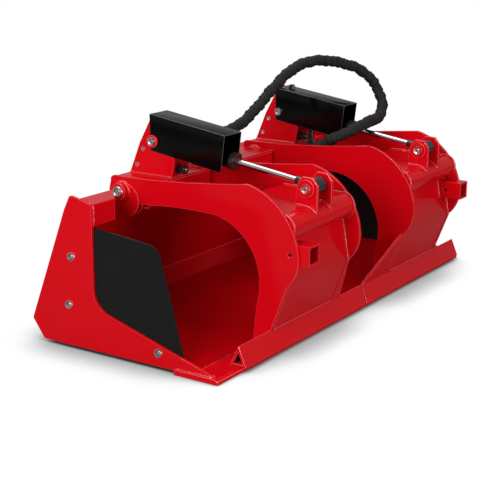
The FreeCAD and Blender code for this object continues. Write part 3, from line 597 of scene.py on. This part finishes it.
def forward_disc(x, y0, y1, radius, sides, rim=0.0):
    """A disc that faces the mouth, from y0 forward to y1, its rim rounded where one is given."""
    deselect()
    middle = at(x, (y0 + y1) / 2, FITTING_Z)
    bpy.ops.mesh.primitive_cylinder_add(vertices=sides, radius=radius / 1000.0, depth=(y0 - y1) / 1000.0,
                                        location=middle, rotation=(math.pi / 2, 0, 0))
    disc = bpy.context.view_layer.objects.active
    apply_place(disc)
    if rim > 0:
        rounded = disc.modifiers.new("rim", "BEVEL")
        rounded.width = rim / 1000.0
        rounded.segments = 3
        rounded.limit_method = "ANGLE"
        bpy.ops.object.modifier_apply(modifier=rounded.name)
    return disc


dark = []
bright = []
for side in SIDES:
    c = GRAPPLE_X[side]
    dark.append(forward_disc(c, 526.0, 516.0, 18.0, 6))
    dark.append(forward_disc(c, 516.0, 500.0, 12.0, 24))
    dark.append(forward_disc(c, 500.0, 488.0, 15.0, 32, 2.5))
    bright.append(forward_disc(c, 489.0, 486.5, 6.0, 24, 0.8))
whole = finish_piece(join_all(dark), "bulkhead_fittings", blackened_steel_and_painted_shade, "bucket", 30.0)
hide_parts("fittings")
finish_piece(join_all(bright), "fitting_buttons", zinc, "bucket", 30.0)
print("fittings", len(SIDES))

# %% [markdown]
# Welds hold all of it together. A bead is laid in a row of small pools, so it is a thin round
# line whose thickness ripples. Each is drawn as a curve through closely spaced points with a
# radius of their own, then turned into a mesh. The coat covers them, so they are red too.

# %% Weld beads
BEAD_STEP = 2.4


def ring_path(x, y, z, radius, start=0.0, stop=360.0):
    """Points on a circle in the side plane, angles from straight up towards +Y."""
    steps = max(8, int(abs(stop - start) / 360.0 * 2 * math.pi * radius / BEAD_STEP))
    path = []
    for i in range(steps + 1):
        angle = math.radians(start + (stop - start) * i / steps)
        path.append((x, y + radius * math.sin(angle), z + radius * math.cos(angle)))
    return path


def seam_path(*corners):
    """Points every BEAD_STEP along straight runs between corners."""
    path = [corners[0]]
    for a, b in zip(corners, corners[1:]):
        steps = max(1, int(math.dist(a, b) / BEAD_STEP))
        for i in range(1, steps + 1):
            path.append(tuple(p + (q - p) * i / steps for p, q in zip(a, b)))
    return path


def weld_bead(name, paths, radius, body):
    """One mesh of rippled beads; radius in mm."""
    data = bpy.data.curves.new(name, "CURVE")
    data.dimensions = "3D"
    data.bevel_depth = radius / 1000.0
    data.bevel_resolution = 1
    data.use_fill_caps = True
    for path in paths:
        spline = data.splines.new("POLY")
        spline.points.add(len(path) - 1)
        for i, (point, place) in enumerate(zip(spline.points, path)):
            point.co = (*at(*place), 1.0)
            end = min(i, len(path) - 1 - i, 3) / 3.0
            ripple = 1.0 + 0.16 * math.sin(i * 2.1) + 0.05 * math.sin(i * 0.37)
            point.radius = (0.55 + 0.45 * end) * ripple
    curve = bpy.data.objects.new(name, data)
    bpy.context.scene.collection.objects.link(curve)
    pick(curve)
    bpy.ops.object.convert(target="MESH")
    bead = finish_piece(bpy.context.view_layer.objects.active, name, bead_coat, body, 60.0)
    print(name, "beads", len(paths), "faces", len(bead.data.polygons))
    return bead


# %% [markdown]
# The seams follow where plates really meet: round the torque tube and down both edges of the
# clamp face, at the foot of each lug, round the receiver, and on the bucket round the pivot
# bosses, at the feet of the uprights, along the end plates and at both ends of the ribs.

# %% Seams of one grapple
FACE_TOP_Z = 408.0
FACE_KNEE_Z = 239.0
RECEIVER_SIZE = 63.5


def face_y(z):
    """y of the clamp face's front at height z."""
    if z > FACE_KNEE_Z:
        return -22.0 - (FACE_TOP_Z - z) * 28.0 / 169.0
    return -50.0 + (FACE_KNEE_Z - z) * 61.0 / 159.0


def grapple_seams(side):
    c = GRAPPLE_X[side]
    seams = []
    for x, inward in ((c - ARM_INSIDE, 1), (c + ARM_INSIDE, -1)):
        seams.append(ring_path(x + inward * 1.5, *TORQUE_TUBE, 45.5))
        seams.append(seam_path((x + inward, face_y(388.0), 388.0),
                               (x + inward, face_y(FACE_KNEE_Z), FACE_KNEE_Z), (x + inward, 9.5, 84.0)))
        seams.append(seam_path((x + inward, -10.0, 472.8), (x + inward, 213.0, 472.8)))
    for x, out in ((c - ARM_OUTSIDE, -0.9), (c - ARM_INSIDE, 0.9),
                   (c + ARM_INSIDE, -0.9), (c + ARM_OUTSIDE, 0.9)):
        seams.append(seam_path((x + out, 14.0, 84.0), (x + out, 33.0, 46.5)))
    for x in (c - 52.6, c - 39.4, c + 39.4, c + 52.6):
        seams.append(ring_path(x, *TORQUE_TUBE, 45.3, -60.0, 0.0)
                     + seam_path((x, -22.0, 473.0), (x, 15.0, 473.0)))
    seams.append(seam_path((c - 193.0, 9.8, 84.5), (c + 193.0, 9.8, 84.5)))
    box = c - ARM_INSIDE if side == "left" else c + ARM_INSIDE - RECEIVER_SIZE
    edge = box + RECEIVER_SIZE if side == "left" else box
    other = box if side == "left" else box + RECEIVER_SIZE
    seams.append(seam_path((other, face_y(380.5) - 1, 380.5), (edge, face_y(380.5) - 1, 380.5),
                           (edge, face_y(315.5) - 1, 315.5), (other, face_y(315.5) - 1, 315.5)))
    return seams


for side in SIDES:
    weld_bead("grapple_welds_" + side, grapple_seams(side), 4.6, "grapple_" + side)

# %% Seams of the bucket
DECK_SEAM_Z = 501.0
LIP_SEAM_Z = 18.9
END_PLATE_INSIDE = 853.5
RIB_HALF = 5.8


def back_y(z):
    """y of the sloping back's outer face at height z, with the bead standing off it."""
    offset = 0.6
    return 601.0 + 0.9305 * offset - (z - 468.0 - 0.3665 * offset) * 0.39386


def bucket_seams():
    seams = []
    for side in SIDES:
        c = GRAPPLE_X[side]
        for direction in (-1, 1):
            seams.append(ring_path(c + direction * 218.2, *PIVOT, 29.8))
        for x in (c - 47.0, c - 33.0, c + 33.0, c + 47.0):
            seams.append(seam_path((x, 519.0, DECK_SEAM_Z), (x, 701.0, DECK_SEAM_Z)))
        seams.append(seam_path((c - 33.0, 525.0, DECK_SEAM_Z), (c + 33.0, 525.0, DECK_SEAM_Z)))
        for x in (c - 182.0, c + 182.0):
            seams.append(seam_path((x, 571.0, 500.8), (x, 624.0, 500.8)))
    for end, inward in ((-END_PLATE_INSIDE, 1), (END_PLATE_INSIDE, -1)):
        x = end + inward
        lip_x = end - inward * 10.8
        seams.append(seam_path((x, 492.0, 496.6), (x, 584.0, 496.6)))
        seams.append(seam_path((x, 487.4, 428.0), (x, 487.4, 492.0)))
        seams.append(seam_path((lip_x, 24.0, LIP_SEAM_Z), (lip_x, 164.0, LIP_SEAM_Z)))
        seams.append(seam_path((x, 20.0, LIP_SEAM_Z), (x, 90.0, LIP_SEAM_Z)))
        seams.append(seam_path((x, back_y(90.0), 90.0), (x, back_y(462.0), 462.0)))
    for rib in (-500.0, -205.0, 205.0, 500.0):
        for x in (rib - RIB_HALF, rib + RIB_HALF):
            seams.append(seam_path((x, back_y(134.0), 134.0), (x, back_y(420.0), 420.0)))
    seams.append(seam_path((-850.0, 744.5, 83.0), (850.0, 744.5, 83.0)))
    return seams


weld_bead("bucket_welds", bucket_seams(), 4.4, "bucket")
weld_bead("lip_weld", [seam_path((-850.0, 89.8, 19.8), (850.0, 89.8, 19.8))], 4.2, "bucket")

# %% [markdown]
# The hose is a pair of lines in a woven nylon sleeve. The sleeve is longer than its lines, so
# it bunches into soft rings. The route is the drawing's own, laid as a smooth curve. Only its
# centre line is kept, as the path that the sleeve follows.

# %% Hose route
hose_route = [
    (-0.2724, 0.2257, 0.622), (-0.2152, 0.2248, 0.618), (-0.1582, 0.2216, 0.6111),
    (-0.1016, 0.2163, 0.6036), (-0.0448, 0.2093, 0.5982), (0.012, 0.2013, 0.5993),
    (0.0674, 0.1931, 0.6113), (0.1188, 0.1849, 0.6352), (0.1651, 0.1747, 0.6675),
    (0.2062, 0.1607, 0.7051), (0.2448, 0.1441, 0.7442), (0.2869, 0.1282, 0.7798),
    (0.3367, 0.117, 0.8058), (0.3916, 0.1094, 0.8206), (0.4479, 0.1007, 0.8267),
    (0.5036, 0.0868, 0.8256), (0.5574, 0.0682, 0.8182), (0.6097, 0.048, 0.8061),
    (0.6612, 0.0283, 0.7901), (0.7084, 0.0067, 0.7659), (0.7404, -0.0199, 0.7272),
    (0.7474, -0.0491, 0.6788), (0.7253, -0.0761, 0.6344), (0.6781, -0.0952, 0.609),
    (0.6235, -0.1096, 0.5989), (0.5681, -0.1246, 0.5991), (0.5132, -0.1401, 0.6048),
    (0.4573, -0.1525, 0.6083), (0.4005, -0.1577, 0.6029), (0.3468, -0.1454, 0.5887),
    (0.3108, -0.1067, 0.5682), (0.2981, -0.0583, 0.5409), (0.3084, -0.0112, 0.5103),
    (0.3371, 0.0336, 0.4898), (0.3799, 0.0709, 0.4841), (0.4319, 0.0917, 0.494),
]
HOSE_RADIUS = 0.021


def hose_centre():
    """The route as a clamped quadratic curve."""
    data = bpy.data.curves.new("hose_centre", "CURVE")
    data.dimensions = "3D"
    spline = data.splines.new("NURBS")
    spline.points.add(len(hose_route) - 1)
    for point, place in zip(spline.points, hose_route):
        point.co = (*place, 1.0)
    spline.order_u = 3
    spline.use_endpoint_u = True
    data.resolution_u = 12
    curve = bpy.data.objects.new("hose_centre", data)
    bpy.context.scene.collection.objects.link(curve)
    return curve


pick(hose_centre())
bpy.ops.object.convert(target="MESH")
centre_line = [v.co.copy() for v in bpy.context.view_layer.objects.active.data.vertices]
bpy.ops.object.delete()

# %% [markdown]
# The sleeve is black nylon, woven on the bias, and quite matt. Its strands are two crossed
# waves in the sleeve's own UV map, which runs along the hose and round it in metres.

# %% Sleeve material
def sleeve_material():
    """Woven nylon: two crossed sets of diagonal strands in the sleeve's own UV map."""
    material = bpy.data.materials.new("nylon_sleeve")
    material.use_nodes = True
    nodes, links = material.node_tree.nodes, material.node_tree.links
    shader = nodes["Principled BSDF"]
    chart = nodes.new("ShaderNodeUVMap")
    chart.uv_map = "UVMap"
    waves = []
    for angle in (math.radians(45), math.radians(-45)):
        turn = nodes.new("ShaderNodeMapping")
        turn.inputs["Rotation"].default_value = (0, 0, angle)
        wave = nodes.new("ShaderNodeTexWave")
        wave.inputs["Scale"].default_value = 130.0
        wave.inputs["Distortion"].default_value = 0.6
        wave.inputs["Detail Scale"].default_value = 2.0
        links.new(chart.outputs["UV"], turn.inputs["Vector"])
        links.new(turn.outputs["Vector"], wave.inputs["Vector"])
        waves.append(wave)
    weave = nodes.new("ShaderNodeMath")
    weave.operation = "MAXIMUM"
    links.new(waves[0].outputs["Fac"], weave.inputs[0])
    links.new(waves[1].outputs["Fac"], weave.inputs[1])
    tone = nodes.new("ShaderNodeValToRGB")
    tone.color_ramp.elements[0].position = 0.35
    tone.color_ramp.elements[0].color = (0.002, 0.002, 0.002, 1)
    tone.color_ramp.elements[1].position = 0.95
    tone.color_ramp.elements[1].color = (0.014, 0.014, 0.015, 1)
    bump = nodes.new("ShaderNodeBump")
    bump.inputs["Strength"].default_value = 0.5
    bump.inputs["Distance"].default_value = 0.0012
    links.new(weave.outputs["Value"], tone.inputs["Fac"])
    links.new(tone.outputs["Color"], shader.inputs["Base Color"])
    links.new(weave.outputs["Value"], bump.inputs["Height"])
    links.new(bump.outputs["Normal"], shader.inputs["Normal"])
    shader.inputs["Roughness"].default_value = 0.62
    shader.inputs["Specular IOR Level"].default_value = 0.3
    return material


sleeve = sleeve_material()
print("sleeve", sleeve.name)

# %% [markdown]
# The sleeve is laid ring by ring along the centre line. Each ring's radius comes from several
# slow waves that don't repeat together, so that it looks gathered and never ribbed.

# %% Woven sleeve
def tube_along(name, path, radius_at, sides):
    """Mesh tube whose ring at each path point has the radius that radius_at gives."""
    deselect()
    bpy.ops.mesh.primitive_circle_add(vertices=sides, radius=1.0, fill_type="NGON")
    tube = bpy.context.view_layer.objects.active
    tangent = (path[1] - path[0]).normalized()
    side = tangent.orthogonal().normalized()
    rings = []
    faces = []
    uvs = []
    travelled = 0.0
    for i, point in enumerate(path):
        ahead = path[min(i + 1, len(path) - 1)] - path[max(i - 1, 0)]
        tangent = ahead.normalized()
        side = (side - tangent * side.dot(tangent)).normalized()
        up = tangent.cross(side)
        if i > 0:
            travelled += (point - path[i - 1]).length
        for k in range(sides):
            angle = 2 * math.pi * k / sides
            radius = radius_at(travelled, angle)
            rings.append(point + side * math.cos(angle) * radius + up * math.sin(angle) * radius)
        uvs.append(travelled)
    for i in range(len(path) - 1):
        for k in range(sides):
            a = i * sides + k
            b = i * sides + (k + 1) % sides
            faces.append((a, b, b + sides, a + sides))
    faces.append(tuple(reversed(range(sides))))
    faces.append(tuple(range((len(path) - 1) * sides, len(path) * sides)))
    mesh = bpy.data.meshes.new(name)
    mesh.from_pydata([tuple(v) for v in rings], [], faces)
    layer = mesh.uv_layers.new(name="UVMap")
    for face in mesh.polygons:
        for corner in face.loop_indices:
            vertex = mesh.loops[corner].vertex_index
            k = vertex % sides
            across = k / sides
            if k == 0 and face.index < (len(path) - 1) * sides and face.index % sides == sides - 1:
                across = 1.0
            layer.data[corner].uv = (uvs[vertex // sides], across * 2 * math.pi * HOSE_RADIUS)
    tube.data = mesh
    return tube


def gathered(travelled, angle):
    """Sleeve radius: bunched rings some 16 mm apart, uneven in depth and drifting round it."""
    phase = travelled * 390.0 + 2.6 * math.sin(travelled * 41.0) + 0.7 * math.sin(angle + travelled * 23.0)
    ring = 1.0 - 2.0 * abs(math.sin(phase / 2.0))
    drift = travelled * 160.0 + 2.1 * math.sin(travelled * 27.0)
    swell = math.sin(drift + 0.6 * math.sin(angle + travelled * 40.0))
    lump = math.sin(travelled * 61.0 + angle) + 0.5 * math.sin(travelled * 97.0 - 2.0 * angle)
    return HOSE_RADIUS * (0.97 + 0.07 * swell - 0.06 * ring + 0.05 * lump)


def resample(path, step):
    """The same line with points at equal spacing."""
    out = [path[0]]
    carried = 0.0
    for a, b in zip(path, path[1:]):
        span = (b - a).length
        place = step - carried
        while place < span:
            out.append(a.lerp(b, place / span))
            place += step
        carried = span - (place - step)
    if (out[-1] - path[-1]).length > step * 0.3:
        out.append(path[-1])
    return out


RING_STEP = 0.0024
RING_SIDES = 28
sleeve_line = resample(centre_line, RING_STEP)
hose_piece = tube_along("woven_sleeve", sleeve_line, gathered, RING_SIDES)
finish_piece(hose_piece, "woven_sleeve", sleeve, carrier["hose"], 60.0)
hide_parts("hose")
print("sleeve faces", len(hose_piece.data.polygons))

# %% [markdown]
# The bucket stands on a plain pale floor under big soft lights, as in a studio. The light
# from the left is the strongest, because the left faces of the arms are the brightest red.

# %% Floor and light
def floor_material():
    """Pale floor: white to the camera, with a painted contact shadow that is darker where something stands
    close above it.
    """
    material = bpy.data.materials.new("pale_floor")
    material.use_nodes = True
    nodes, links = material.node_tree.nodes, material.node_tree.links
    out = nodes["Material Output"]
    shader = nodes["Principled BSDF"]
    shader.inputs["Roughness"].default_value = 0.9
    shader.inputs["Specular IOR Level"].default_value = 0.1
    shader.inputs["Base Color"].default_value = (0.22, 0.22, 0.22, 1)
    # Painted contact shadow: occlusion near the floor darkens the white that the camera sees.
    near = nodes.new("ShaderNodeAmbientOcclusion")
    near.inputs["Distance"].default_value = 0.20
    near.samples = 16
    shade = nodes.new("ShaderNodeValToRGB")
    shade.color_ramp.elements[0].position = 0.15
    shade.color_ramp.elements[0].color = (0.02, 0.02, 0.02, 1)
    shade.color_ramp.elements[1].position = 0.90
    shade.color_ramp.elements[1].color = (1, 1, 1, 1)
    middle = shade.color_ramp.elements.new(0.62)
    middle.color = (0.55, 0.55, 0.55, 1)
    glow = nodes.new("ShaderNodeEmission")
    path = nodes.new("ShaderNodeLightPath")
    mix = nodes.new("ShaderNodeMixShader")
    links.new(near.outputs["AO"], shade.inputs["Fac"])
    links.new(shade.outputs["Color"], glow.inputs["Color"])
    links.new(path.outputs["Is Camera Ray"], mix.inputs["Fac"])
    links.new(shader.outputs["BSDF"], mix.inputs[1])
    links.new(glow.outputs["Emission"], mix.inputs[2])
    links.new(mix.outputs["Shader"], out.inputs["Surface"])
    return material


deselect()
bpy.ops.mesh.primitive_plane_add(size=40.0, location=(0, 0, 0))
floor = bpy.context.view_layer.objects.active
floor.name = "studio_floor"
floor.data.materials.append(floor_material())

def studio_world():
    """A weak even light all round, which the camera itself sees as white."""
    world = bpy.data.worlds.new("studio_world")
    world.use_nodes = True
    nodes, links = world.node_tree.nodes, world.node_tree.links
    sky = nodes["Background"]
    sky.inputs["Color"].default_value = (0.98, 0.98, 1.0, 1)
    sky.inputs["Strength"].default_value = 0.32
    white = nodes.new("ShaderNodeBackground")
    white.inputs["Strength"].default_value = 1.0
    white.inputs["Color"].default_value = (1, 1, 1, 1)
    ray = nodes.new("ShaderNodeLightPath")
    seen = nodes.new("ShaderNodeMixShader")
    links.new(ray.outputs["Is Camera Ray"], seen.inputs["Fac"])
    links.new(sky.outputs["Background"], seen.inputs[1])
    links.new(white.outputs["Background"], seen.inputs[2])
    links.new(seen.outputs["Shader"], nodes["World Output"].inputs["Surface"])
    return world


bpy.context.scene.world = studio_world()


def soft_light(name, place, aim, size, power):
    """A square lamp at a place, turned to its aim."""
    data = bpy.data.lights.new(name, "AREA")
    data.shape = "SQUARE"
    data.size = size
    data.energy = power
    lamp = bpy.data.objects.new(name, data)
    bpy.context.scene.collection.objects.link(lamp)
    lamp.location = place
    lamp.rotation_euler = (Vector(aim) - Vector(place)).to_track_quat("-Z", "Y").to_euler()
    return lamp


lamps = [soft_light("left_window", (-4.0, -0.4, 2.0), (0, 0, 0.35), 2.0, 108.0),
         soft_light("overhead_box", (0.4, 1.0, 3.6), (0, 0, 0.3), 3.0, 60.0),
         soft_light("front_low", (-0.6, -4.2, 0.9), (0.1, 0, 0.3), 1.8, 66.0)]
bpy.context.scene.view_settings.view_transform = "Standard"
print("lamps", len(lamps))
